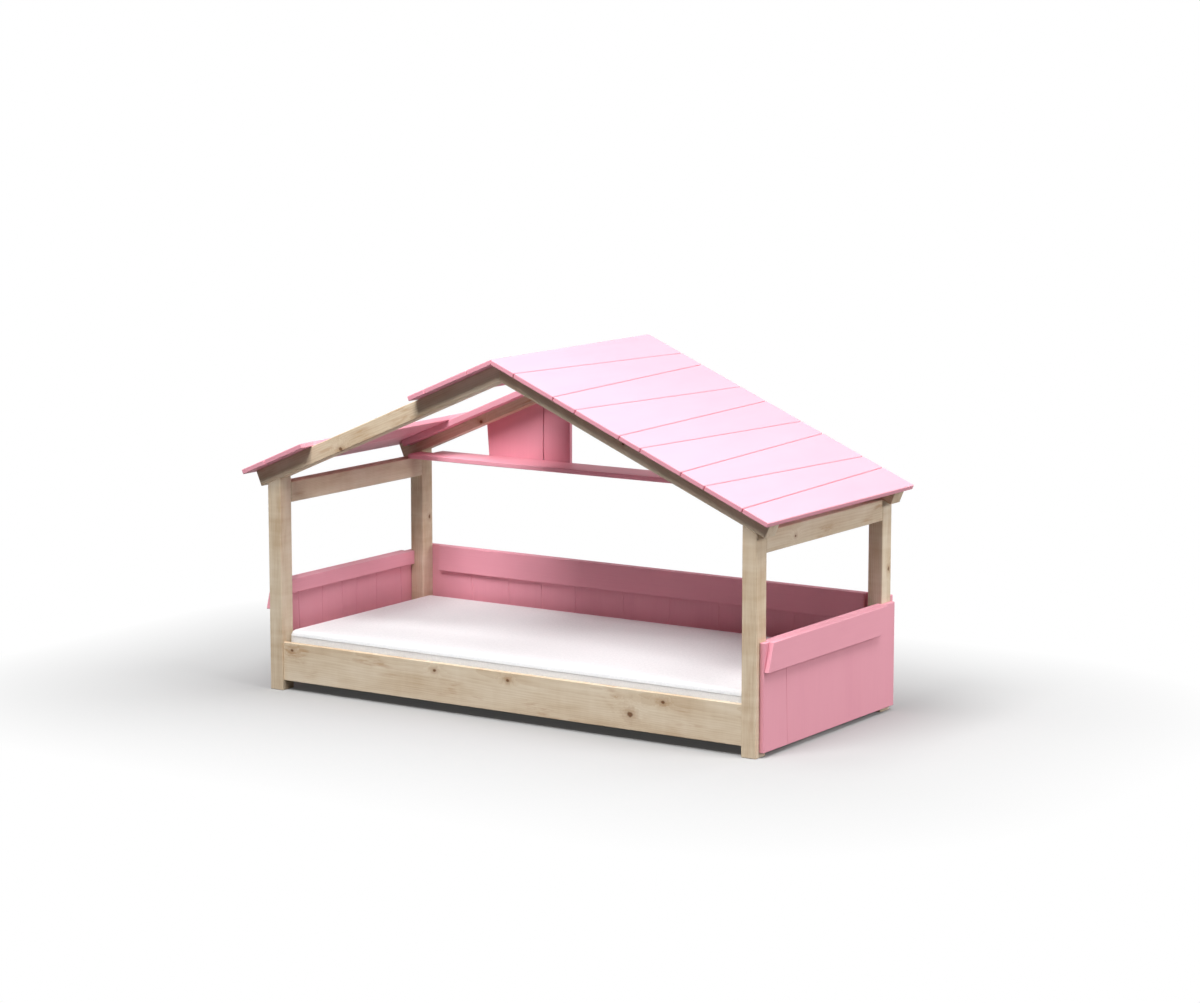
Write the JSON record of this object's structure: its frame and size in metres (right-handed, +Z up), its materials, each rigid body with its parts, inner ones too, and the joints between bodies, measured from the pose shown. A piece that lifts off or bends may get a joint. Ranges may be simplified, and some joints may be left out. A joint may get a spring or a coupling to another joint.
{
  "type": "house frame bed",
  "caption": "Low child's bed in a gabled house frame of oak-coloured timber, with tapered pink roof boards, a skylight gap, panelled ends and back, and a loose mattress.",
  "frame": {"origin": "on the floor, under the middle of the roof's outline", "axes": "+X along the bed from the foot end to the head end, +Y from the open front to the back panel, +Z up"},
  "size_m": [2.2758, 1.039, 1.3166],
  "materials": {
    "oak_grey_wood": "oiled, fine vertical grain and small knots",
    "slat_wood": "planed softwood",
    "pink_lacquer": "satin pink lacquer over wood grain",
    "mattress_cover": "matte white cotton cover",
    "zinc_steel": "zinc plated",
    "beech_dowel": "bare beech"
  },
  "bodies": {
    "frame": {"barrel_nuts": "zinc_steel", "bed_bolts": "zinc_steel", "bed_slat_01": "slat_wood", "bed_slat_02": "slat_wood", "bed_slat_03": "slat_wood", "bed_slat_04": "slat_wood", "bed_slat_05": "slat_wood", "bed_slat_06": "slat_wood", "bed_slat_07": "slat_wood", "bed_slat_08": "slat_wood", "bed_slat_09": "slat_wood", "bed_slat_10": "slat_wood", "cap_back_inner": "pink_lacquer", "cap_foot_inner": "pink_lacquer", "cap_foot_outer": "pink_lacquer", "cap_head_inner": "pink_lacquer", "cap_head_outer": "pink_lacquer", "crossbar_foot": "oak_grey_wood", "crossbar_head": "oak_grey_wood", "end_rail_foot": "oak_grey_wood", "end_rail_head": "oak_grey_wood", "frame_dowels": "beech_dowel", "gable_board_1": "pink_lacquer", "gable_board_2": "pink_lacquer", "gable_shelf": "pink_lacquer", "panel_back": "pink_lacquer", "panel_foot": "pink_lacquer", "panel_head": "pink_lacquer", "post_back_foot": "oak_grey_wood", "post_back_head": "oak_grey_wood", "post_front_foot": "oak_grey_wood", "post_front_head": "oak_grey_wood", "rafter_back_foot": "oak_grey_wood", "rafter_back_head": "oak_grey_wood", "rafter_front_foot": "oak_grey_wood", "rafter_front_head": "oak_grey_wood", "rafter_screws": "zinc_steel", "roof_batten_back_foot": "pink_lacquer", "roof_batten_back_head": "pink_lacquer", "roof_batten_front_foot": "pink_lacquer", "roof_batten_front_head": "pink_lacquer", "roof_board_foot_lower_1": "pink_lacquer", "roof_board_foot_lower_2": "pink_lacquer", "roof_board_foot_upper_1": "pink_lacquer", "roof_board_foot_upper_2": "pink_lacquer", "roof_board_foot_upper_3": "pink_lacquer", "roof_board_head_1": "pink_lacquer", "roof_board_head_2": "pink_lacquer", "roof_board_head_3": "pink_lacquer", "roof_board_head_4": "pink_lacquer", "roof_board_head_5": "pink_lacquer", "roof_board_head_6": "pink_lacquer", "roof_board_head_7": "pink_lacquer", "roof_board_head_8": "pink_lacquer", "roof_board_head_9": "pink_lacquer", "side_rail_back": "oak_grey_wood", "side_rail_front": "oak_grey_wood", "slat_ledge_back": "slat_wood", "slat_ledge_front": "slat_wood"},
    "mattress": {"mattress": "mattress_cover"}
  },
  "joints": [
    {"name": "mattress_lift", "type": "slide", "parent": "frame", "child": "mattress", "axis": [0, 0, 1], "range_m": [0, 0.45]}
  ]
}
